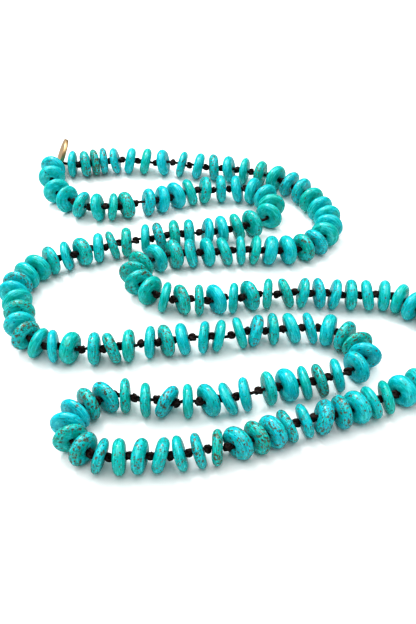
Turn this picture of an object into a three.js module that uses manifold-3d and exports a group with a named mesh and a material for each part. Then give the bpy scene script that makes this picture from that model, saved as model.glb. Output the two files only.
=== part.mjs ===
import * as THREE from 'three';
import { mergeVertices } from 'three/addons/utils/BufferGeometryUtils.js';
import Module from 'manifold-3d';

// A knotted necklace of turquoise rondelles lying folded on a table.
// Millimetres, +Z up, resting on z = 0.

const wasm = await Module();
wasm.setup();

// Driving dimensions
const BEAD_R = 5;           // radius of every bead
const BORE_R = 0.8;         // radius of the hole through a bead
const CORD_R = 0.5;         // radius of the cord
const KNOT_R = 1.15;        // radius of a knot
const KNOT_HALF = 1.2;      // longest half length of a knot
const CLEAR = 0.3;          // least gap between separate pieces
const TAG_R = 6;            // radius of the round tag
const TAG_THICK = 1.4;
const TAG_HOLE_R = 1;
const TAG_HOLE_OFF = 4.2;   // from the middle of the tag to the middle of its hole

// Bead codes: thickness in mm, lean of the top forward and turn to the left in degrees
const THICK = { t: 2.9, m: 3.5, w: 4.2 };
const LEAN = { B: -24, b: -12, '.': 0, f: 12, F: 24 };
const TURN = { L: 28, l: 14, '.': 0, r: -14, R: -28 };

// The lie of the strand, once round the loop: x, y, then what is strung from there to the next row.
// '-' is a little extra bare cord.
const STRAND = [
  [53.5, -44.5, 'w.. w.l - tfr'],
  [40, -51, '- tf. w.l m..'],
  [26.5, -56.5, 'wbr tf.'],
  [16, -59.5, '- tf. w.l m.l'],
  [3, -65.5, 'w.L t.r tf.'],
  [-13, -69.5, 'tf. mbr m.r'],
  [-28.5, -71, 'm.. tb.'],
  [-38.5, -69.9, 'm.. t.r'],
  [-45.8, -62.6, 't.. t..'],
  [-43, -54.5, 'm.. m.L'],
  [-34, -49.6, 't.l t.l'],
  [-22.4, -51.7, 'mfR t.. m.L'],
  [-4.8, -50.9, 'tB. tbr - t..'],
  [11.5, -46.2, 'w.l tb. tb.'],
  [26, -43, 'tbr m..'],
  [37.4, -36.2, 't.r t.r'],
  [34.8, -27.7, 'm.. w..'],
  [25.5, -22.5, 'tfl mfl t..'],
  [9, -23, 'mbr tf. - tbr'],
  [-7, -26, 't.r - mf. m.l'],
  [-23, -28, 't.r - m.r mfl'],
  [-39, -31, 'm.. - w.r t.l'],
  [-56, -29.5, 'tb. t..'],
  [-64.1, -23.5, 'm.. m..'],
  [-66.7, -12.6, 't.. t.r'],
  [-69.5, -4, 't.l m.. m.l'],
  [-62, 8.2, 'm.. tbr'],
  [-52.5, 13.5, 'w.l m.r tb.'],
  [-38, 19, 'm.r - t.r mb.'],
  [-22, 23.5, 'm.. m.. - tf.'],
  [-6, 26, 'm.. mb. m.l -'],
  [11.5, 32.5, 'm.. m..'],
  [14, 43.5, 'm.. m..'],
  [5.5, 51, 'mf. m.. mb.'],
  [-12, 50, 'mf. m.l mb.'],
  [-27, 44, 'mb. - - w.l tb.'],
  [-44, 40, 'mf. mb.'],
  [-56, 43, 'tf. m.r'],
  [-64.6, 53, '- m.. m.r'],
  [-65.7, 68.2, 'tag t.l'],
  [-56.5, 67.4, 'm.. t.. t..'],
  [-46, 70, 'tb. mf. mf.'],
  [-28.7, 69.5, 'mb. tf.'],
  [-14.5, 67, 'mf. m.l mb.'],
  [2.8, 63.7, 't.. m..'],
  [14.5, 59.5, 'm.r mf.'],
  [24, 52.5, 'm.l m..'],
  [30.5, 41.5, 'm.. m..'],
  [34, 31, 'm.. m.l'],
  [30.5, 22, 'mf. m.l'],
  [21.5, 16, 'w.l wb. tb.'],
  [5.5, 15.5, 't.. mfl m.l'],
  [-11, 14.2, 'mf. w.l'],
  [-22, 12.6, 'm.l t.l'],
  [-31.8, 5.6, 't.r t.r'],
  [-28.5, -3, 'm.. tfl'],
  [-19, -9, 'm.L t.. m.L'],
  [-2.5, -9, 't.r m.l'],
  [8, -7, 't.r tbl'],
  [19.5, -6, 'tf. t.l tf.'],
  [34.5, -7, 'm.. mb. m..'],
  [50, -8, 'm.. m..'],
  [57.5, -14, 'm.. m..'],
  [66, -19, 't.. m..'],
  [71, -29, 'm.. t..'],
  [66, -39.5, 'm.. m..'],
];
const OWN_ROWS = 16;        // the beads of these rows are solids of their own
const SECTION_ROWS = [16, 19, 22, 25, 28, 31, 34, 37, 41, 44, 47, 50, 52, 55, 57, 60, 62];

const rad = THREE.MathUtils.degToRad;
const UP = new THREE.Vector3(0, 0, 1);

// ---- where everything is strung ----

const SAMPLES = 24;         // per row of the strand
const line = new THREE.CatmullRomCurve3(
  STRAND.map(([x, y]) => new THREE.Vector3(x, y, 0)), true, 'catmullrom', 0.5);
const stops = Array.from({ length: STRAND.length * SAMPLES + 1 },
  (_, k) => line.getPoint(k / (STRAND.length * SAMPLES)));
const run = [0];
for (let k = 1; k < stops.length; k++) run.push(run[k - 1] + stops[k].distanceTo(stops[k - 1]));
const total = run[run.length - 1];

function pointAt(s) {
  const d = THREE.MathUtils.euclideanModulo(s, total);
  let k = run.findIndex((r) => r > d) - 1;
  if (k < 0) k = stops.length - 2;
  return stops[k].clone().lerp(stops[k + 1], (d - run[k]) / (run[k + 1] - run[k]));
}

function headingAt(s) {
  const d = pointAt(s + 1.2).sub(pointAt(s - 1.2));
  return Math.atan2(d.y, d.x);
}

// Axis along the hole, up in the plane of the disc, and how high the middle stands
function stand(heading, lean, profile) {
  const axis = new THREE.Vector3(
    Math.cos(heading) * Math.cos(lean), Math.sin(heading) * Math.cos(lean), -Math.sin(lean));
  const side = new THREE.Vector3(-Math.sin(heading), Math.cos(heading), 0);
  const up = axis.clone().cross(side);
  const height = Math.max(...profile.map(
    ([r, h]) => r * Math.cos(lean) + Math.abs(h) * Math.sin(Math.abs(lean))));
  return { axis, side, up, height };
}

// Radius and offset along the hole, from one face to the other
function beadProfile(thick) {
  return [[0.8 * BEAD_R, -0.44 * thick], [BEAD_R, 0], [0.8 * BEAD_R, 0.44 * thick]];
}

function string() {
  const items = [];
  STRAND.forEach(([, , codes], row) => {
    const start = run[row * SAMPLES];
    const length = run[(row + 1) * SAMPLES] - start;
    const strung = codes.split(' ').map((code) => {
      if (code === '-') return { code, thick: 0 };
      if (code === 'tag') return { code, thick: TAG_THICK };
      return { code, thick: THICK[code[0]], lean: rad(LEAN[code[1]]), turn: rad(TURN[code[2]]) };
    });
    const slack = (length - strung.reduce((sum, it) => sum + it.thick, 0)) / strung.length;
    let s = start;
    for (const it of strung) {
      s += slack / 2 + it.thick / 2;
      const at = pointAt(s);
      const heading = headingAt(s);
      s += slack / 2 + it.thick / 2;
      if (it.code === '-') continue;
      if (it.code === 'tag') {
        at.z = BEAD_R;
        items.push({ tag: true, row, at });
        continue;
      }
      const pose = stand(heading + it.turn, it.lean, beadProfile(it.thick));
      at.z = pose.height;
      items.push({ row, at, thick: it.thick, ...pose });
    }
  });
  return items;
}

const items = string();
const beads = items.filter((it) => !it.tag);
const tag = items.find((it) => it.tag);
const tagPlace = items.indexOf(tag);         // how many beads come before it
const tagPose = stand(rad(4), rad(24), [[TAG_R, TAG_THICK / 2]]);

// ---- join and cut ----

function toManifold(geometry) {
  const bare = geometry.clone();
  bare.deleteAttribute('normal');
  bare.deleteAttribute('uv');
  const welded = mergeVertices(bare, 1e-4);
  const corners = welded.index.array;
  const kept = [];
  for (let k = 0; k < corners.length; k += 3) {
    const [a, b, c] = [corners[k], corners[k + 1], corners[k + 2]];
    if (a !== b && b !== c && c !== a) kept.push(a, b, c);
  }
  return new wasm.Manifold(new wasm.Mesh({
    numProp: 3,
    vertProperties: Float32Array.from(welded.attributes.position.array),
    triVerts: Uint32Array.from(kept),
  }));
}

function toGeometry(solid) {
  const mesh = solid.getMesh();
  const geometry = new THREE.BufferGeometry();
  geometry.setAttribute('position', new THREE.BufferAttribute(mesh.vertProperties, 3));
  geometry.setIndex(new THREE.BufferAttribute(mesh.triVerts, 1));
  geometry.computeVertexNormals();
  return geometry;
}

function join(solids) {
  return toGeometry(solids.reduce((sum, solid) => sum.add(solid)).asOriginal().simplify(0.02));
}

// ---- shapes ----

const flat = (pairs) => pairs.map(([r, h]) => new THREE.Vector2(r, h));

// A bead turned about its hole, local +Y along the hole and local +Z up in its plane
function boredBead(thick) {
  const wall = [[BORE_R, -0.44 * thick], ...beadProfile(thick), [BORE_R, 0.44 * thick]];
  return new THREE.LatheGeometry(flat([...wall, wall[0]]), 12);
}

function solidBead(thick) {
  return new THREE.LatheGeometry(
    flat([[0, -0.44 * thick], ...beadProfile(thick), [0, 0.44 * thick]]), 10);
}

function turned({ axis, up }) {
  return new THREE.Matrix4().makeBasis(axis.clone().cross(up), axis, up);
}

const face = (bead, end) => bead.at.clone().addScaledVector(bead.axis, end * 0.5 * bead.thick);

// Half way along the bare cord between two neighbours, and the way it runs
function between(a, b) {
  const from = face(a, 1);
  const to = face(b, -1);
  return { mid: from.clone().lerp(to, 0.5), way: to.clone().sub(from).normalize() };
}

const neighbour = (bead, step) => beads[(beads.indexOf(bead) + step + beads.length) % beads.length];

// A bent line with its corners evenly spaced along it
class BentLine extends THREE.Curve {
  constructor(corners) {
    super();
    this.corners = corners;
  }

  getPoint(t) {
    const reach = t * (this.corners.length - 1);
    const k = Math.min(Math.floor(reach), this.corners.length - 2);
    return this.corners[k].clone().lerp(this.corners[k + 1], reach - k);
  }

  getPointAt(u) {
    return this.getPoint(u);
  }

  getTangentAt(u) {
    return this.getTangent(u);
  }
}

// The cord through a run of beads, each given the points where the cord bends in it
function cord(strung, bends) {
  const first = strung[0];
  const last = strung[strung.length - 1];
  const start = between(neighbour(first, -1), first);
  const end = between(last, neighbour(last, 1));
  const corners = [start.mid.addScaledVector(start.way, 0.7 * CLEAR)];
  for (const bead of strung) {
    corners.push(...bends(bead));
    if (beads.indexOf(bead) + 1 === tagPlace) {
      corners.push(...[-1.3, 1.3].map((step) => tag.at.clone().addScaledVector(tagPose.axis, step)));
    }
  }
  corners.push(end.mid.addScaledVector(end.way, -0.7 * CLEAR));
  const ring = new THREE.Shape().absarc(0, 0, CORD_R, 0, 2 * Math.PI);
  return new THREE.ExtrudeGeometry(ring, {
    steps: corners.length - 1, curveSegments: 3, bevelEnabled: false, extrudePath: new BentLine(corners) });
}

// A knot as long as the space between two beads allows, or none where they all but touch
function knot(a, b) {
  const { mid, way } = between(a, b);
  const half = Math.min(KNOT_HALF, ...[a, b].map((bead) => {
    const room = Math.abs(mid.clone().sub(bead.at).dot(bead.axis)) - 0.44 * bead.thick - CLEAR;
    const slant = Math.abs(way.dot(bead.axis));
    const spare = room ** 2 - KNOT_R ** 2 * (1 - slant ** 2);
    return room > 0 && spare > 0 ? Math.sqrt(spare) / slant : 0;
  }));
  if (half < 0.3) return null;
  const lump = new THREE.IcosahedronGeometry(1, 0);
  lump.scale(KNOT_R, half, KNOT_R);
  lump.applyQuaternion(new THREE.Quaternion().setFromUnitVectors(new THREE.Vector3(0, 1, 0), way));
  lump.translate(mid.x, mid.y, mid.z);
  return lump;
}

// ---- the necklace ----

const necklace = new THREE.Group();
necklace.name = 'necklace';

const stone = () => new THREE.MeshStandardMaterial({ color: 0x16a9a8, roughness: 0.35, metalness: 0 });
const dark = () => new THREE.MeshStandardMaterial({ color: 0x2b1b15, roughness: 0.8, metalness: 0 });
const gold = () => new THREE.MeshStandardMaterial({ color: 0xc99a45, roughness: 0.3, metalness: 1 });

function addMesh(name, geometry, material) {
  const mesh = new THREE.Mesh(geometry, material);
  mesh.name = name;
  necklace.add(mesh);
  return mesh;
}

const two = (n) => String(n).padStart(2, '0');

// The nearest stretch, each bead a solid of its own on a knotted cord
const own = beads.filter((bead) => bead.row < OWN_ROWS);
own.forEach((bead, k) => {
  const mesh = addMesh(`bead_${two(k + 1)}`, boredBead(bead.thick), stone());
  mesh.position.copy(bead.at);
  mesh.quaternion.setFromRotationMatrix(turned(bead));
});
const knots = own.slice(1).map((bead, k) => knot(own[k], bead)).filter(Boolean);
const throughHole = (bead) => [face(bead, -1), face(bead, 1)];
addMesh('cord_front', join([cord(own, throughHole), ...knots].map(toManifold)), dark());

// The rest of the loop, a few beads at a time, joined along their cord
SECTION_ROWS.forEach((row, k) => {
  const until = SECTION_ROWS[k + 1] ?? STRAND.length;
  const strung = beads.filter((bead) => bead.row >= row && bead.row < until);
  const discs = strung.map((bead) => {
    const disc = solidBead(bead.thick);
    disc.applyMatrix4(turned(bead).setPosition(bead.at));
    return disc;
  });
  addMesh(`strand_${two(k + 1)}`, join([cord(strung, (bead) => [bead.at.clone()]), ...discs].map(toManifold)), stone());
});

// The round tag, standing on its rim with the cord through its hole
{
  const pose = tagPose;
  const drop = pose.height - BEAD_R;
  const along = Math.sqrt(TAG_HOLE_OFF ** 2 - (drop / pose.up.z) ** 2);
  const disc = new THREE.CylinderGeometry(TAG_R, TAG_R, TAG_THICK, 28);
  const hole = new THREE.CylinderGeometry(TAG_HOLE_R, TAG_HOLE_R, 3 * TAG_THICK, 12);
  hole.translate(along, 0, -drop / pose.up.z);
  const mesh = addMesh('tag_disc', toGeometry(toManifold(disc).subtract(toManifold(hole))), gold());
  mesh.quaternion.setFromRotationMatrix(turned(pose));
  const across = pose.axis.clone().cross(pose.up);
  mesh.position.copy(tag.at)
    .addScaledVector(across, -along).addScaledVector(pose.up, drop / pose.up.z);
}

// Middle of the footprint over the origin, lowest point on the table
const box = new THREE.Box3().setFromObject(necklace, true);
const middle = box.getCenter(new THREE.Vector3());
necklace.position.set(-middle.x, -middle.y, -box.min.z);

export default necklace;
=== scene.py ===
import math
import random

import bmesh
import bpy
from bpy.props import FloatProperty, FloatVectorProperty, IntProperty, PointerProperty
from mathutils import Matrix, Vector, noise
from mathutils.geometry import interpolate_bezier


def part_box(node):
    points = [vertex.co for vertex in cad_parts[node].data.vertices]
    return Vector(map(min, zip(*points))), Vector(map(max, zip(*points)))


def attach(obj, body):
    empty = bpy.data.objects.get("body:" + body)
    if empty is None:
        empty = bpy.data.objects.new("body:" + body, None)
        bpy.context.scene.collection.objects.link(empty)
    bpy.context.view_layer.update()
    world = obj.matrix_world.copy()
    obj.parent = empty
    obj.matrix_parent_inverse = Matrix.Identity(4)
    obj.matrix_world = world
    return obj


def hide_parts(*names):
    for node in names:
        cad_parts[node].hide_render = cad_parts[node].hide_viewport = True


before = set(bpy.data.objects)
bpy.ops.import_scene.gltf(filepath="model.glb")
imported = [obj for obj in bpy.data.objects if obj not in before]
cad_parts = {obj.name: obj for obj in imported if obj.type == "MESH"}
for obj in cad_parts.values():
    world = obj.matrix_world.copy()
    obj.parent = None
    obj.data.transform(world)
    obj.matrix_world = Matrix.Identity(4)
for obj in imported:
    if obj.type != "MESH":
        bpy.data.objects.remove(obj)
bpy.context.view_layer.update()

bl_info = {
    "name": "Knotted turquoise necklace",
    "version": (1, 0, 0),
    "blender": (4, 5, 0),
    "location": "3D View > Sidebar > Necklace",
    "description": "Builds a folded strand of turquoise rondelles on a knotted cord, with a round tag",
    "category": "Object",
}

MM = 0.001

# Sizes in mm that the stringing and the settings share
BEAD_RADIUS = 5.0
TAG_RADIUS = 6.0
TAG_THICK = 1.4
TAG_HEADING, TAG_LEAN = math.radians(4), math.radians(24)

# Bead codes: thickness in mm, lean of the top forward and turn to the left in degrees
THICK = {"t": 2.9, "m": 3.5, "w": 4.2}
LEAN = {"B": -24, "b": -12, ".": 0, "f": 12, "F": 24}
TURN = {"L": 28, "l": 14, ".": 0, "r": -14, "R": -28}

# The lie of the strand, once round the loop: x, y in mm, then what is strung to the next row.
# "-" is a little extra bare cord.
STRAND = [
    (53.5, -44.5, "w.. w.l - tfr"),
    (40, -51, "- tf. w.l m.."),
    (26.5, -56.5, "wbr tf."),
    (16, -59.5, "- tf. w.l m.l"),
    (3, -65.5, "w.L t.r tf."),
    (-13, -69.5, "tf. mbr m.r"),
    (-28.5, -71, "m.. tb."),
    (-38.5, -69.9, "m.. t.r"),
    (-45.8, -62.6, "t.. t.."),
    (-43, -54.5, "m.. m.L"),
    (-34, -49.6, "t.l t.l"),
    (-22.4, -51.7, "mfR t.. m.L"),
    (-4.8, -50.9, "tB. tbr - t.."),
    (11.5, -46.2, "w.l tb. tb."),
    (26, -43, "tbr m.."),
    (37.4, -36.2, "t.r t.r"),
    (34.8, -27.7, "m.. w.."),
    (25.5, -22.5, "tfl mfl t.."),
    (9, -23, "mbr tf. - tbr"),
    (-7, -26, "t.r - mf. m.l"),
    (-23, -28, "t.r - m.r mfl"),
    (-39, -31, "m.. - w.r t.l"),
    (-56, -29.5, "tb. t.."),
    (-64.1, -23.5, "m.. m.."),
    (-66.7, -12.6, "t.. t.r"),
    (-69.5, -4, "t.l m.. m.l"),
    (-62, 8.2, "m.. tbr"),
    (-52.5, 13.5, "w.l m.r tb."),
    (-38, 19, "m.r - t.r mb."),
    (-22, 23.5, "m.. m.. - tf."),
    (-6, 26, "m.. mb. m.l -"),
    (11.5, 32.5, "m.. m.."),
    (14, 43.5, "m.. m.."),
    (5.5, 51, "mf. m.. mb."),
    (-12, 50, "mf. m.l mb."),
    (-27, 44, "mb. - - w.l tb."),
    (-44, 40, "mf. mb."),
    (-56, 43, "tf. m.r"),
    (-64.6, 53, "- m.. m.r"),
    (-65.7, 68.2, "tag t.l"),
    (-56.5, 67.4, "m.. t.. t.."),
    (-46, 70, "tb. mf. mf."),
    (-28.7, 69.5, "mb. tf."),
    (-14.5, 67, "mf. m.l mb."),
    (2.8, 63.7, "t.. m.."),
    (14.5, 59.5, "m.r mf."),
    (24, 52.5, "m.l m.."),
    (30.5, 41.5, "m.. m.."),
    (34, 31, "m.. m.l"),
    (30.5, 22, "mf. m.l"),
    (21.5, 16, "w.l wb. tb."),
    (5.5, 15.5, "t.. mfl m.l"),
    (-11, 14.2, "mf. w.l"),
    (-22, 12.6, "m.l t.l"),
    (-31.8, 5.6, "t.r t.r"),
    (-28.5, -3, "m.. tfl"),
    (-19, -9, "m.L t.. m.L"),
    (-2.5, -9, "t.r m.l"),
    (8, -7, "t.r tbl"),
    (19.5, -6, "tf. t.l tf."),
    (34.5, -7, "m.. mb. m.."),
    (50, -8, "m.. m.."),
    (57.5, -14, "m.. m.."),
    (66, -19, "t.. m.."),
    (71, -29, "m.. t.."),
    (66, -39.5, "m.. m.."),
]
# The beads of the first rows are pieces of their own; each section of the rest starts at a row
OWN_ROWS = 16
SECTION_ROWS = [16, 19, 22, 25, 28, 31, 34, 37, 41, 44, 47, 50, 52, 55, 57, 60, 62]

ROUTE_STEPS = 24     # points on the curve from one row to the next
HEADING_REACH = 1.2  # how far before and after a bead the route sets its heading, in mm
BEAD_SEED, KNOT_SEED = 1000, 5000

# Beads counted from the first: how much brown matrix shows, and how blue the stone is
MATRIX = {5: 0.75, 6: 0.7, 8: 0.6, 10: 0.8, 12: 0.6, 19: 0.75, 20: 0.55, 23: 0.7, 35: 1.0,
          53: 0.6, 58: 0.85, 73: 0.9, 101: 1.0, 112: 0.5, 132: 0.6, 134: 0.5}
BLUE = {9: 0.8, 11: 0.7, 21: 1.0, 22: 1.0, 37: 0.8, 38: 0.9, 59: 0.6, 83: 0.6, 115: 0.7,
        121: 0.9}


class BeadSizes(bpy.types.PropertyGroup):
    radius: FloatProperty(name="Radius", description="Radius of a bead",
                          default=BEAD_RADIUS * MM, min=MM, unit="LENGTH")
    hole: FloatProperty(name="Hole radius", description="Radius of the hole through a bead",
                        default=0.78 * MM, min=0.1 * MM, unit="LENGTH")
    uneven: FloatProperty(name="Unevenness",
                          description="How far the hand-cut stone strays from round",
                          default=0.13 * MM, min=0.0, unit="LENGTH")
    sides: IntProperty(name="Sides", description="Faces round a bead", default=26, min=8, max=64)
    blue: FloatVectorProperty(name="Blue stone", description="Colour of the bluest stone",
                              default=(0.001, 0.50, 0.60), subtype="COLOR", size=3, min=0, max=1)
    green: FloatVectorProperty(name="Green stone", description="Colour of the greenest stone",
                               default=(0.001, 0.45, 0.37), subtype="COLOR", size=3, min=0, max=1)
    # the pale colour paints both pale layers of the stone and painted streaks of reflected light
    pale: FloatVectorProperty(name="Pale streaks", description="Colour of the pale bands",
                              default=(0.08, 0.78, 0.78), subtype="COLOR", size=3, min=0, max=1)
    rust: FloatVectorProperty(name="Rust", description="Colour of the brown matrix",
                              default=(0.15, 0.075, 0.014), subtype="COLOR", size=3, min=0, max=1)
    speck: FloatVectorProperty(name="Specks", description="Colour of the dark specks",
                               default=(0.008, 0.03, 0.018), subtype="COLOR", size=3, min=0, max=1)


class CordSizes(bpy.types.PropertyGroup):
    ply: FloatProperty(name="Ply radius", description="Radius of one of the three plies",
                       default=0.28 * MM, min=0.05 * MM, unit="LENGTH")
    lay: FloatProperty(name="Lay", description="Length of cord for one turn of the plies",
                       default=2.6 * MM, min=0.5 * MM, unit="LENGTH")
    knot: FloatProperty(name="Knot radius", description="Middle radius of a knot's turns",
                        default=0.92 * MM, min=0.2 * MM, unit="LENGTH")
    knot_ply: FloatProperty(name="Knot cord radius", description="Radius of the cord in a knot",
                            default=0.5 * MM, min=0.1 * MM, unit="LENGTH")
    colour: FloatVectorProperty(name="Cord", description="Colour of the waxed cord",
                                default=(0.009, 0.0032, 0.0022), subtype="COLOR", size=3,
                                min=0, max=1)


class TagSizes(bpy.types.PropertyGroup):
    radius: FloatProperty(name="Radius", description="Radius of the tag",
                          default=TAG_RADIUS * MM, min=MM, unit="LENGTH")
    thick: FloatProperty(name="Thickness", description="Thickness of the tag",
                         default=TAG_THICK * MM, min=0.2 * MM, unit="LENGTH")
    hole: FloatProperty(name="Hole radius", description="Radius of the tag's hole",
                        default=1.0 * MM, min=0.2 * MM, unit="LENGTH")
    hole_off: FloatProperty(name="Hole offset", description="From the tag's middle to its hole",
                            default=4.2 * MM, min=0.0, unit="LENGTH")
    colour: FloatVectorProperty(name="Gold", description="Colour of the gold tone",
                                default=(0.78, 0.55, 0.29), subtype="COLOR", size=3, min=0, max=1)


class StageSizes(bpy.types.PropertyGroup):
    eye: FloatVectorProperty(name="Eye", description="Where the camera stands",
                             default=(-8.41 * MM, -213.57 * MM, 186 * MM),
                             subtype="TRANSLATION", size=3)
    down: FloatProperty(name="Down", description="How far the camera looks down",
                        default=math.radians(42.6), subtype="ANGLE")
    sky: FloatProperty(name="Room light", description="Strength of the light from all round",
                       default=0.38, min=0.0)
    overhead: FloatProperty(name="Overhead light", description="Strength of the broad light above",
                            default=2.75, min=0.0)
    spread: FloatProperty(name="Spread", description="How broad the light above is",
                          default=math.radians(80), subtype="ANGLE")
    key: FloatProperty(name="Key light", description="Power of the smaller light behind",
                       default=2.2, min=0.0, unit="POWER")


class NecklaceSettings(bpy.types.PropertyGroup):
    bead: PointerProperty(type=BeadSizes)
    cord: PointerProperty(type=CordSizes)
    tag: PointerProperty(type=TagSizes)
    stage: PointerProperty(type=StageSizes)


# ---- where everything is strung, in mm ----

def rope_line():
    """Points close together round the loop, and the length run at each row."""
    ends = [Vector((x, y)) for x, y, _ in STRAND]
    count, points, rows, run = len(ends), [], [], 0.0
    for i in range(count):
        a, b, c, d = (ends[(i + k) % count] for k in (-1, 0, 1, 2))
        rows.append(run)
        for k in range(ROUTE_STEPS):
            t = k / ROUTE_STEPS
            here = 0.5 * (2 * b + (c - a) * t + (2 * a - 5 * b + 4 * c - d) * t * t
                          + (3 * b - a - 3 * c + d) * t ** 3)
            if points:
                run += (here - points[-1][1]).length
                if k == 0:
                    rows[-1] = run
            points.append((run, here))
    run += (points[0][1] - points[-1][1]).length
    points.append((run, points[0][1].copy()))
    return points, rows + [run]


def point_at(points, s):
    """The point of the loop a length s from its start."""
    s %= points[-1][0]
    low, high = 0, len(points) - 1
    while high - low > 1:
        mid = (low + high) // 2
        low, high = (mid, high) if points[mid][0] <= s else (low, mid)
    (s0, p0), (s1, p1) = points[low], points[high]
    return p0.lerp(p1, (s - s0) / (s1 - s0))


class Strung:
    """One thing on the cord: its middle, the axis of its hole, up in its plane."""

    def __init__(self, row, at, heading, lean, thick, profile):
        self.row, self.thick = row, thick
        self.axis = Vector((math.cos(heading) * math.cos(lean),
                            math.sin(heading) * math.cos(lean), -math.sin(lean)))
        side = Vector((-math.sin(heading), math.cos(heading), 0))
        self.up = self.axis.cross(side)
        self.side = self.up.cross(self.axis)
        self.height = max(r * math.cos(lean) + h * math.sin(abs(lean)) for r, h in profile)
        self.at = Vector((at.x, at.y, self.height))

    def place(self):
        """Local X sideways, local Y up in the plane of the disc, local Z along the hole."""
        turn = Matrix((self.side, self.up, self.axis)).transposed().to_4x4()
        return Matrix.Translation(self.at) @ turn

    def face(self, end):
        """Where the hole opens, at end 1 or -1."""
        return self.at + self.axis * (end * 0.5 * self.thick)


def width_of(code):
    return {"-": 0.0, "tag": TAG_THICK}[code] if code in ("-", "tag") else THICK[code[0]]


def string_all():
    """Every bead in order, then the tag and how many beads come before it."""
    points, rows = rope_line()
    beads, tag = [], None
    for row, (_, _, codes) in enumerate(STRAND):
        codes = codes.split()
        widths = [width_of(code) for code in codes]
        slack = (rows[row + 1] - rows[row] - sum(widths)) / len(codes)
        s = rows[row]
        for code, wide in zip(codes, widths):
            s += slack / 2 + wide / 2
            at = point_at(points, s)
            way = point_at(points, s + HEADING_REACH) - point_at(points, s - HEADING_REACH)
            heading = math.atan2(way.y, way.x)
            s += slack / 2 + wide / 2
            if code == "tag":
                tag = (len(beads), at)
            elif code != "-":
                beads.append(Strung(row, at, heading + math.radians(TURN[code[2]]),
                                    math.radians(LEAN[code[1]]), wide,
                                    [(0.8 * BEAD_RADIUS, 0.44 * wide), (BEAD_RADIUS, 0.0)]))
    lo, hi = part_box("bead_01")
    shift = (Vector(lo) + Vector(hi)) / 2 / MM - beads[0].at
    for bead in beads:
        bead.at += shift
    place, at = tag
    pose = Strung(-1, at, TAG_HEADING, TAG_LEAN, TAG_THICK, [(TAG_RADIUS, TAG_THICK / 2)])
    pose.at = Vector((at.x, at.y, BEAD_RADIUS)) + shift
    return beads, pose, place


BEADS, TAG, TAG_PLACE = string_all()


# ---- shared making ----

def settings():
    return bpy.context.scene.necklace


def finish_piece(name, bm, material, nodes, smooth=None):
    """Turns a bmesh into a finished piece at the origin that stands for the given nodes."""
    mesh = bpy.data.meshes.new(name)
    bm.to_mesh(mesh)
    bm.free()
    mesh.polygons.foreach_set("use_smooth", [True] * len(mesh.polygons))
    if smooth is not None:
        mesh.set_sharp_from_angle(angle=math.radians(smooth))
    mesh.materials.append(material)
    piece = bpy.data.objects.new(name, mesh)
    bpy.context.scene.collection.objects.link(piece)
    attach(piece, "root")
    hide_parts(*nodes)
    return piece


class Nodes:
    """Short hand for building a node tree."""

    def __init__(self, tree):
        self.tree = tree

    def feed(self, node, values):
        """Join each input that is given a socket, and set the others."""
        for key, value in values.items():
            if isinstance(value, bpy.types.NodeSocket):
                self.tree.links.new(value, node.inputs[key])
            else:
                node.inputs[key].default_value = value

    def add(self, kind, values=None, **attributes):
        node = self.tree.nodes.new(kind)
        for key, value in attributes.items():
            setattr(node, key, value)
        self.feed(node, values or {})
        return node

    def math(self, operation, a, b, clamp=False):
        return self.add("ShaderNodeMath", {0: a, 1: b}, operation=operation,
                        use_clamp=clamp).outputs[0]

    def mix(self, amount, a, b):
        return self.add("ShaderNodeMix", {0: amount, 6: a, 7: b}, data_type="RGBA").outputs[2]

    def ramp(self, value, low, high, to_low=0.0, to_high=1.0):
        return self.add("ShaderNodeMapRange", {0: value, 1: low, 2: high, 3: to_low, 4: to_high},
                        interpolation_type="SMOOTHSTEP").outputs[0]

    def noise(self, vector, scale, detail=3.0, rough=0.5, warp=0.0):
        values = {"Vector": vector, "Scale": scale, "Detail": detail, "Roughness": rough,
                  "Distortion": warp}
        return self.add("ShaderNodeTexNoise", values).outputs["Fac"]

    def bump(self, height, strength, depth):
        """A bump as deep as the given mm."""
        return self.add("ShaderNodeBump", {"Height": height, "Strength": strength,
                                           "Distance": depth * MM}).outputs[0]


def new_material(name):
    material = bpy.data.materials.new(name)
    material.use_nodes = True
    tree = material.node_tree
    return material, Nodes(tree), tree.nodes["Principled BSDF"]


def rgb(colour, times=1.0):
    """A colour for a socket, darkened or lightened by a factor."""
    return (*(times * value for value in colour), 1.0)


def new_group(name, *numbers):
    """An empty group that takes a vector and the named numbers and gives one mask."""
    group = bpy.data.node_groups.new(name, "ShaderNodeTree")
    group.interface.new_socket("Vector", in_out="INPUT", socket_type="NodeSocketVector")
    for number in numbers:
        group.interface.new_socket(number, in_out="INPUT", socket_type="NodeSocketFloat")
    group.interface.new_socket("Mask", in_out="OUTPUT", socket_type="NodeSocketFloat")
    n = Nodes(group)
    return n, n.add("NodeGroupInput").outputs


def mottle_group():
    """Cloudy patches with a chosen size, place and softness."""
    if "Mottle" in bpy.data.node_groups:
        return bpy.data.node_groups["Mottle"]
    n, given = new_group("Mottle", "Scale", "Edge", "Softness")
    cloud = n.noise(given["Vector"], given["Scale"], 4.0, 0.58, 0.35)
    low = n.math("SUBTRACT", given["Edge"], given["Softness"])
    high = n.math("ADD", given["Edge"], given["Softness"])
    n.add("NodeGroupOutput", {"Mask": n.ramp(cloud, low, high)})
    return n.tree


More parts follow.
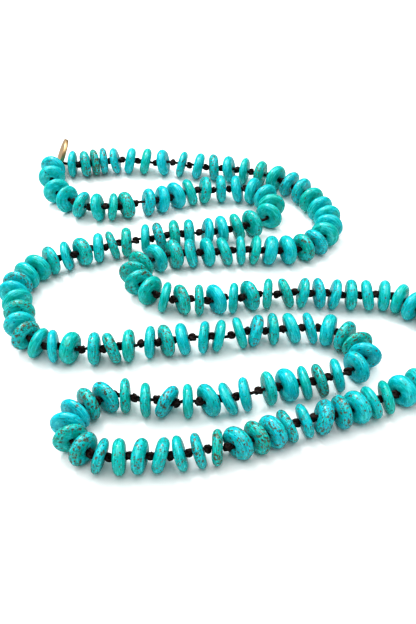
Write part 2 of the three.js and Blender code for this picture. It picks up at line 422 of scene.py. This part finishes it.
def spots_group():
    """Round spots in a share of the cells of a scatter."""
    if "Spots" in bpy.data.node_groups:
        return bpy.data.node_groups["Spots"]
    n, given = new_group("Spots", "Scale", "Share", "Size")
    cell = n.add("ShaderNodeTexVoronoi", {"Vector": given["Vector"], "Scale": given["Scale"]},
                 feature="F1").outputs
    pick = n.add("ShaderNodeSeparateColor", {0: cell["Color"]}).outputs
    chosen = n.math("LESS_THAN", pick[0], given["Share"])
    size = n.math("MULTIPLY", given["Size"], n.ramp(pick[1], 0.0, 1.0, 0.6, 1.25))
    inside = n.ramp(cell["Distance"], n.math("MULTIPLY", size, 0.7),
                    n.math("MULTIPLY", size, 1.15), 1.0, 0.0)
    n.add("NodeGroupOutput", {"Mask": n.math("MULTIPLY", inside, chosen)})
    return n.tree


def mottle(n, vector, scale, edge, softness):
    values = {"Vector": vector, "Scale": scale, "Edge": edge, "Softness": softness}
    return n.add("ShaderNodeGroup", values, node_tree=mottle_group()).outputs["Mask"]


def spots(n, vector, scale, share, size):
    values = {"Vector": vector, "Scale": scale, "Share": share, "Size": size}
    return n.add("ShaderNodeGroup", values, node_tree=spots_group()).outputs["Mask"]


# ---- materials ----

def turquoise():
    """Polished stone, coloured by where each bead was cut and by how blue and brown it is."""
    if "turquoise" in bpy.data.materials:
        return bpy.data.materials["turquoise"]
    size = settings().bead
    material, n, shader = new_material("turquoise")
    place = n.add("ShaderNodeAttribute", attribute_name="stone_place").outputs["Vector"]
    nature = n.add("ShaderNodeSeparateXYZ", {
        0: n.add("ShaderNodeAttribute", attribute_name="stone_nature").outputs["Vector"]})
    blueness, brown, rim = nature.outputs[0], nature.outputs[1], nature.outputs[2]

    # stone colour, cloudy between blue and green
    cloud = n.noise(place, 0.5, 4.0, 0.55, 0.3)
    hue = n.math("ADD", blueness, n.ramp(cloud, 0.35, 0.65, -0.3, 0.3), clamp=True)
    colour = n.mix(hue, rgb(size.green), rgb(size.blue))
    patch = mottle(n, place, 1.1, 0.55, 0.14)
    colour = n.mix(n.math("MULTIPLY", patch, 0.3), colour, rgb(size.green, 0.5))

    # pale bands and brighter threads that follow the flat of the disc: partly pale layers in the
    # stone, partly painted streaks of reflected light
    flat = n.add("ShaderNodeMapping", {"Vector": place, "Scale": (0.16, 0.16, 1.9)}).outputs[0]
    band_and_glint = n.ramp(n.noise(flat, 1.1, 4.0, 0.6), 0.5, 0.68)
    colour = n.mix(n.math("MULTIPLY", band_and_glint, 0.28), colour, rgb(size.pale))
    thread_and_glint = n.ramp(n.noise(flat, 2.2, 2.0, 0.5), 0.55, 0.62)
    colour = n.mix(n.math("MULTIPLY", thread_and_glint, 0.32), colour, rgb(size.pale, 1.2))
    groove = n.ramp(n.noise(flat, 2.2, 3.0, 0.6), 0.36, 0.43, 1.0, 0.0)
    colour = n.mix(n.math("MULTIPLY", groove, 0.45), colour, rgb(size.green, 0.3))

    # brown matrix in spots that run together towards the rim, then dark specks over everything
    wander = n.add("ShaderNodeTexNoise", {"Vector": place, "Scale": 1.9, "Detail": 3.0})
    crooked = n.add("ShaderNodeVectorMath", {0: place, 1: wander.outputs["Color"]},
                    operation="ADD").outputs[0]
    crooked = n.add("ShaderNodeMapping", {"Vector": crooked, "Scale": (0.85, 0.85, 1.25)})
    crooked = crooked.outputs[0]
    share = n.math("MULTIPLY", brown, n.ramp(rim, 0.2, 0.9, 0.35, 1.0))
    rust = spots(n, crooked, 1.15, share, 0.48)
    gathered = mottle(n, place, 0.5, n.ramp(brown, 0.2, 1.0, 0.52, 0.28), 0.05)
    rust = n.math("MULTIPLY", rust, gathered)
    fleck = spots(n, crooked, 1.7, n.math("MULTIPLY", share, 0.6), 0.42)
    speck = spots(n, crooked, 2.3, n.math("ADD", n.math("MULTIPLY", share, 0.7), 0.1), 0.42)
    speck = n.math("MULTIPLY", speck, mottle(n, place, 0.6, 0.45, 0.08))
    earth = n.mix(n.ramp(n.noise(place, 3.5, 3.0, 0.6), 0.38, 0.62),
                  rgb(size.rust), rgb(size.rust, 0.35))
    colour = n.mix(n.math("MULTIPLY", rust, 0.85), colour, earth)
    colour = n.mix(n.math("MULTIPLY", fleck, 0.8), colour, earth)
    colour = n.mix(n.math("MULTIPLY", speck, 0.9), colour, rgb(size.speck))

    # the matrix is duller and a little sunken in the polish
    broken = n.math("MAXIMUM", n.math("MAXIMUM", rust, fleck), speck)
    polish = n.ramp(n.noise(place, 3.0, 3.0, 0.6), 0.3, 0.7, 0.2, 0.33)
    rough = n.math("ADD", polish, n.math("MULTIPLY", broken, 0.2))
    grain = n.math("MULTIPLY", n.noise(place, 6.0, 3.0, 0.6), 0.25)
    height = n.math("SUBTRACT", grain, n.math("ADD", n.math("MULTIPLY", broken, 0.4),
                                              n.math("MULTIPLY", groove, 0.2)))
    n.feed(shader, {"Base Color": colour, "Roughness": rough, "Normal": n.bump(height, 0.35, 0.12),
                    "Specular IOR Level": 0.22, "Coat Weight": 0.45, "Coat Roughness": 0.13})
    return material


def waxed_cord():
    """Dark brown thread, paler where the wax has worn."""
    material, n, shader = new_material("waxed_cord")
    place = n.add("ShaderNodeTexCoord").outputs["Object"]
    worn = mottle(n, place, 420.0, 0.5, 0.15)
    fibre = n.noise(place, 3800.0, 3.0, 0.7)
    colour = settings().cord.colour
    lighter = rgb(colour, 3.4)
    shade = n.mix(n.math("MULTIPLY", worn, 0.55), rgb(colour), lighter)
    shade = n.mix(n.ramp(fibre, 0.55, 0.75, 0.0, 0.5), shade, lighter)
    n.feed(shader, {"Base Color": shade, "Roughness": n.ramp(fibre, 0.3, 0.7, 0.5, 0.75),
                    "Normal": n.bump(fibre, 0.5, 0.06), "Specular IOR Level": 0.25})
    return material


def gold_tone():
    """Lightly brushed and tarnished metal."""
    material, n, shader = new_material("gold_tone")
    place = n.add("ShaderNodeTexCoord").outputs["Object"]
    tarnish = mottle(n, place, 260.0, 0.58, 0.18)
    colour = settings().tag.colour
    shade = n.mix(n.math("MULTIPLY", tarnish, 0.35), rgb(colour), rgb(colour, 0.72))
    brushed = n.add("ShaderNodeMapping", {"Vector": place, "Scale": (1.0, 1.0, 0.06)}).outputs[0]
    lines = n.noise(brushed, 5200.0, 2.0, 0.5)
    rough = n.ramp(lines, 0.3, 0.7, 0.34, 0.5)
    rough = n.math("ADD", rough, n.math("MULTIPLY", tarnish, 0.08))
    n.feed(shader, {"Base Color": shade, "Roughness": rough, "Normal": n.bump(lines, 0.12, 0.03),
                    "Metallic": 1.0})
    return material


# ---- beads ----

def bead_blank(thick):
    """One smooth rondelle, its hole along Z, turned from half of its section."""
    size = settings().bead
    shares = ((1.0, 0.0), (0.98, 0.14), (0.925, 0.28), (0.83, 0.395), (0.68, 0.47), (0.50, 0.5),
              (0.34, 0.485))
    half = [(size.radius * across, thick * MM * along) for across, along in shares]
    half += [(1.4 * size.hole, 0.445 * thick * MM), (size.hole, 0.38 * thick * MM)]
    section = half[::-1] + [(r, -h) for r, h in half[1:]]
    bm = bmesh.new()
    corners = [bm.verts.new((r, 0, h)) for r, h in section]
    edges = [bm.edges.new((a, b)) for a, b in zip(corners, corners[1:] + corners[:1])]
    bmesh.ops.spin(bm, geom=corners + edges, cent=(0, 0, 0), axis=(0, 0, 1), angle=2 * math.pi,
                   steps=size.sides, use_merge=True)
    bmesh.ops.remove_doubles(bm, verts=bm.verts, dist=1e-6)
    bmesh.ops.recalc_face_normals(bm, faces=bm.faces)
    mesh = bpy.data.meshes.new("bead_blank")
    bm.to_mesh(mesh)
    bm.free()
    return mesh


def string_beads(numbers, blanks):
    """The numbered beads in one bmesh, each a little uneven and with its own piece of stone."""
    size = settings().bead
    bm = bmesh.new()
    place = bm.verts.layers.float_vector.new("stone_place")
    nature = bm.verts.layers.float_vector.new("stone_nature")
    for number in numbers:
        bead = BEADS[number]
        chance = random.Random(BEAD_SEED + number)
        seam = Vector([chance.uniform(-40, 40) for _ in range(3)])
        blue = BLUE.get(number, chance.uniform(0.0, 0.85))
        brown = MATRIX.get(number, chance.choice((0.0, 0.04, 0.08, 0.15, 0.25, 0.4, 0.55)))
        before = len(bm.verts)
        bm.from_mesh(blanks[bead.thick])
        bm.verts.ensure_lookup_table()
        whole = bead.place()
        whole.translation = whole.translation * MM
        for vert in bm.verts[before:]:
            local = vert.co / MM
            vert[place] = local + seam
            edge = max(0.0, Vector((local.x, local.y)).length - 2.0) / 3.0
            vert[nature] = (blue, brown, edge)
            lump = noise.noise(local * 0.22 + seam)
            wide = 1 - size.uneven / size.radius * edge * (0.5 + 0.9 * lump)
            thick = 1 + 0.06 * noise.noise(local * 0.3 - seam)
            vert.co = whole @ Vector((vert.co.x * wide, vert.co.y * wide, vert.co.z * thick))
    return bm


def finish_beads(pieces):
    """Finishes one piece for each node and its bead numbers, from shared blanks."""
    blanks = {thick: bead_blank(thick) for thick in THICK.values()}
    for node, numbers in pieces:
        finish_piece(f"turquoise_{node}", string_beads(numbers, blanks), turquoise(),
                     [node])
    for blank in blanks.values():
        bpy.data.meshes.remove(blank)


class NECKLACE_OT_front_beads(bpy.types.Operator):
    """Make the beads of the nearest stretch, each a piece of its own"""
    bl_idname = "necklace.front_beads"
    bl_label = "Front beads"

    def execute(self, context):
        finish_beads((f"bead_{number + 1:02d}", [number])
                     for number, bead in enumerate(BEADS) if bead.row < OWN_ROWS)
        return {"FINISHED"}


class NECKLACE_OT_strands(bpy.types.Operator):
    """Make the rest of the loop, a few beads to a piece"""
    bl_idname = "necklace.strands"
    bl_label = "Rest of the strand"

    def execute(self, context):
        ends = SECTION_ROWS[1:] + [len(STRAND)]
        finish_beads((f"strand_{k:02d}",
                      [number for number, bead in enumerate(BEADS) if start <= bead.row < end])
                     for k, (start, end) in enumerate(zip(SECTION_ROWS, ends), 1))
        return {"FINISHED"}


# ---- cord and knots, in mm ----

PLIES = 3
PLY_SPREAD = 0.9   # from the cord's middle to a ply's, in radii of the ply
CORD_STEP = 0.45   # between two points of the cord
TAG_REACH = 1.3    # how far the cord runs straight on each side of the tag's hole
KNOT_ROOM = 0.45   # the shortest bare cord that takes a knot
KNOT_HALF = 1.15   # half of the longest knot
KNOT_PRESS = 0.28  # how far a knot in a short gap is pressed into the beads' holes
KNOT_POINTS = 26


def gaps():
    """Each stretch of bare cord: where it leaves one bead and enters the next, in mm."""
    for number, bead in enumerate(BEADS):
        after = BEADS[(number + 1) % len(BEADS)]
        yield number, bead.face(1), bead.axis, after.face(-1), after.axis


def cord_line():
    """The middle of the cord round the whole loop, in mm."""
    line = []
    for number, leaves, way, enters, onward in gaps():
        stops = [(BEADS[number].face(-1), way), (leaves, way)]
        if number + 1 == TAG_PLACE:
            stops += [(TAG.at + TAG.axis * reach, TAG.axis) for reach in (-TAG_REACH, TAG_REACH)]
        stops.append((enters, onward))
        for (a, from_way), (b, to_way) in zip(stops, stops[1:]):
            reach = (b - a).length / 3
            count = max(3, round((b - a).length / CORD_STEP) + 1)
            line += interpolate_bezier(a, a + from_way * reach, b - to_way * reach, b, count)[:-1]
    return line


def add_spline(curve, points, radius):
    """A closed round cord through the points, all in mm."""
    spline = curve.splines.new("POLY")
    spline.points.add(len(points) - 1)
    for corner, point in zip(spline.points, points):
        corner.co = (*(point * MM), 1.0)
        corner.radius = radius
    spline.use_cyclic_u = True
    spline.use_smooth = True


def twist_cord(curve, line, size):
    """The plies that turn about the cord's middle, a whole number of times round the loop."""
    run = [0.0]
    for a, b in zip(line, line[1:] + line[:1]):
        run.append(run[-1] + (b - a).length)
    turns = round(run[-1] * MM / size.lay)
    for ply in range(PLIES):
        points = []
        for k, here in enumerate(line):
            way = (line[(k + 1) % len(line)] - line[k - 1]).normalized()
            across = Vector((0, 0, 1)).cross(way).normalized()
            angle = 2 * math.pi * (turns * run[k] / run[-1] + ply / PLIES)
            off = across * math.cos(angle) + way.cross(across) * math.sin(angle)
            points.append(here + off * (PLY_SPREAD * size.ply / MM))
        add_spline(curve, points, size.ply / MM)


def tie_knot(curve, middle, way, half, size, chance):
    """An overhand knot drawn tight round the cord, as long as its room allows."""
    spin = Matrix.Rotation(chance.uniform(0, 2 * math.pi), 3, "Z")
    tilt = Matrix.Rotation(math.radians(chance.uniform(-18, 18)), 3, "X")
    turn = way.to_track_quat("Z", "Y").to_matrix() @ tilt @ spin
    big = size.knot / MM * chance.uniform(0.92, 1.1)
    thin = size.knot_ply / MM
    rise = max(0.1, half - thin)
    points = []
    for k in range(KNOT_POINTS):
        t = 2 * math.pi * k / KNOT_POINTS
        x = (math.sin(t) + 1.7 * math.sin(2 * t)) / 2.7
        y = (math.cos(t) - 1.7 * math.cos(2 * t)) / 2.7
        points.append(middle + turn @ Vector((x * big, y * big, -math.sin(3 * t) * rise)))
    add_spline(curve, points, thin)


class NECKLACE_OT_cord(bpy.types.Operator):
    """Make the twisted cord round the whole loop and tie a knot between beads"""
    bl_idname = "necklace.cord"
    bl_label = "Cord and knots"

    def execute(self, context):
        size = settings().cord
        curve = bpy.data.curves.new("knotted_cord", "CURVE")
        curve.dimensions = "3D"
        curve.bevel_depth = MM
        curve.bevel_resolution = 1
        twist_cord(curve, cord_line(), size)
        for number, leaves, _, enters, _ in gaps():
            chance = random.Random(KNOT_SEED + number)
            room = (enters - leaves).length
            if room < KNOT_ROOM or number + 1 == TAG_PLACE:
                continue
            half = min(KNOT_HALF, 0.5 * room + KNOT_PRESS)
            slack = max(0.0, 0.5 * room - half)
            along = (enters - leaves).normalized()
            middle = (leaves + enters) / 2 + along * chance.uniform(-slack, slack)
            tie_knot(curve, middle, along, half, size, chance)
        maker = bpy.data.objects.new("cord_maker", curve)
        bpy.context.scene.collection.objects.link(maker)
        depsgraph = context.evaluated_depsgraph_get()
        mesh = bpy.data.meshes.new_from_object(maker.evaluated_get(depsgraph))
        bm = bmesh.new()
        bm.from_mesh(mesh)
        bmesh.ops.remove_doubles(bm, verts=bm.verts, dist=1e-7)
        bmesh.ops.recalc_face_normals(bm, faces=bm.faces)
        bpy.data.objects.remove(maker)
        bpy.data.curves.remove(curve)
        bpy.data.meshes.remove(mesh)
        finish_piece("knotted_cord", bm, waxed_cord(), ["cord_front"])
        return {"FINISHED"}


# ---- tag ----

TAG_SIDES = 72
TAG_EASE = 0.22        # how much of the tag's edges is rounded off, in mm
SHARP_EDGE = 0.8       # edges that turn more than this many radians are rims


class NECKLACE_OT_tag(bpy.types.Operator):
    """Make the plain round tag that leans on its rim, threaded near its edge"""
    bl_idname = "necklace.tag"
    bl_label = "Round tag"

    def execute(self, context):
        size = settings().tag
        # the tag's middle lies this far up its plane and along it from its hole
        rise = (TAG.height - BEAD_RADIUS) / TAG.up.z * MM
        along = math.sqrt(size.hole_off ** 2 - rise ** 2)
        bm = bmesh.new()
        bmesh.ops.create_circle(bm, segments=TAG_SIDES, radius=size.radius)
        bmesh.ops.create_circle(bm, segments=TAG_SIDES, radius=size.hole,
                                matrix=Matrix.Translation((-along, -rise, 0)))
        bmesh.ops.bridge_loops(bm, edges=bm.edges[:])
        top = bmesh.ops.extrude_face_region(bm, geom=bm.faces[:])["geom"]
        lifted = [v for v in top if isinstance(v, bmesh.types.BMVert)]
        bmesh.ops.translate(bm, verts=lifted, vec=(0, 0, size.thick))
        bmesh.ops.translate(bm, verts=bm.verts, vec=(0, 0, -size.thick / 2))
        bmesh.ops.recalc_face_normals(bm, faces=bm.faces)
        rims = [e for e in bm.edges if e.is_manifold and e.calc_face_angle(0.0) > SHARP_EDGE]
        bmesh.ops.bevel(bm, geom=rims, offset=TAG_EASE * MM, offset_type="OFFSET", affect="EDGES",
                        segments=3, profile=0.5, material=-1)
        whole = TAG.place()
        whole.translation = TAG.at * MM + TAG.side * along + TAG.up * rise
        bmesh.ops.transform(bm, matrix=whole, verts=bm.verts)
        finish_piece("gold_tag", bm, gold_tone(), ["tag_disc"], smooth=30)
        return {"FINISHED"}


# ---- stage ----

FLOOR_HALF = 6.0                     # half of the floor's width, in m
FLOOR_DROP = 0.02                    # how far the floor lies under the beads, in mm
# GREY is the floor's colour in glossy rays only: a painted darkening of the floor's reflection
WHITE, OFF_WHITE, GREY = rgb((0.93, 0.93, 0.93)), rgb((0.9, 0.9, 0.9)), rgb((0.3, 0.3, 0.3))
GLOSSY_SHARE = 0.25                  # how much of the room light shines back in polish
OVERHEAD_AT = (-0.05, 0.08, 0.75)    # where the lights hang, in m; both shine at the middle
KEY_AT = (-0.22, 0.28, 0.55)
KEY_WIDE, KEY_DEEP = 0.2, 0.14
LENS, SENSOR = 50.0, 36.0            # in mm


def is_glossy(n):
    """1 for the rays that polish sends on, else 0."""
    return n.add("ShaderNodeLightPath").outputs["Is Glossy Ray"]


class NECKLACE_OT_stage(bpy.types.Operator):
    """Lay the floor, light the room and stand the camera"""
    bl_idname = "necklace.stage"
    bl_label = "Stage"

    def execute(self, context):
        size = settings().stage
        scene = context.scene
        bm = bmesh.new()
        bmesh.ops.create_grid(bm, x_segments=1, y_segments=1, size=FLOOR_HALF)
        mesh = bpy.data.meshes.new("floor")
        bm.to_mesh(mesh)
        bm.free()
        floor = bpy.data.objects.new("floor", mesh)
        scene.collection.objects.link(floor)
        floor.location.z = -FLOOR_DROP * MM
        paper, n, shader = new_material("white_paper")
        place = n.add("ShaderNodeTexCoord").outputs["Object"]
        tint = n.mix(n.math("MULTIPLY", n.noise(place, 40.0), 0.3), WHITE, OFF_WHITE)
        # the floor is painted grey for glossy rays only, painted shade on its reflection in the stone
        # and the gold
        n.feed(shader, {"Base Color": n.mix(is_glossy(n), tint, GREY), "Roughness": 0.9})
        mesh.materials.append(paper)

        world = scene.world or bpy.data.worlds.new("room")
        scene.world = world
        world.use_nodes = True
        backdrop = world.node_tree.nodes["Background"]
        n = Nodes(world.node_tree)
        strength = n.ramp(is_glossy(n), 0.0, 1.0, size.sky, GLOSSY_SHARE * size.sky)
        n.feed(backdrop, {"Color": (1, 1, 1, 1), "Strength": strength})
        broad = bpy.data.lights.new("overhead", "SUN")
        broad.energy, broad.angle = size.overhead, size.spread
        key = bpy.data.lights.new("key", "AREA")
        key.shape, key.size, key.size_y = "RECTANGLE", KEY_WIDE, KEY_DEEP
        key.energy = size.key
        for lamp, at in ((broad, OVERHEAD_AT), (key, KEY_AT)):
            hung = bpy.data.objects.new(lamp.name, lamp)
            scene.collection.objects.link(hung)
            hung.location = at
            hung.rotation_euler = (-Vector(at)).to_track_quat("-Z", "Y").to_euler()

        view = bpy.data.cameras.new("eye")
        view.lens, view.sensor_width = LENS, SENSOR
        view.clip_start, view.clip_end = 0.005, 50.0
        camera = bpy.data.objects.new("eye", view)
        scene.collection.objects.link(camera)
        camera.location = size.eye
        camera.rotation_euler = (math.pi / 2 - size.down, 0, 0)
        scene.camera = camera
        scene.view_settings.view_transform = "Standard"
        scene.view_settings.look = "Medium High Contrast"
        return {"FINISHED"}


class NECKLACE_PT_panel(bpy.types.Panel):
    """Everything that makes the necklace, in order"""
    bl_idname = "NECKLACE_PT_panel"
    bl_label = "Necklace"
    bl_space_type = "VIEW_3D"
    bl_region_type = "UI"
    bl_category = "Necklace"

    def draw(self, context):
        for maker in MAKERS:
            self.layout.operator(maker.bl_idname, text=maker.bl_label)
        for part in ("bead", "cord", "tag", "stage"):
            group = getattr(context.scene.necklace, part)
            box = self.layout.box()
            box.label(text=part.capitalize())
            for key in group.bl_rna.properties.keys():
                if key not in ("rna_type", "name"):
                    box.prop(group, key)


MAKERS = (NECKLACE_OT_front_beads, NECKLACE_OT_strands, NECKLACE_OT_cord, NECKLACE_OT_tag,
          NECKLACE_OT_stage)
CLASSES = (BeadSizes, CordSizes, TagSizes, StageSizes, NecklaceSettings, *MAKERS,
           NECKLACE_PT_panel)


def register():
    for made in CLASSES:
        bpy.utils.register_class(made)
    bpy.types.Scene.necklace = PointerProperty(type=NecklaceSettings)


def unregister():
    del bpy.types.Scene.necklace
    for made in reversed(CLASSES):
        bpy.utils.unregister_class(made)


def main():
    register()
    bpy.ops.necklace.front_beads()
    bpy.ops.necklace.strands()
    bpy.ops.necklace.cord()
    bpy.ops.necklace.tag()
    bpy.ops.necklace.stage()


if __name__ == "__main__":
    main()
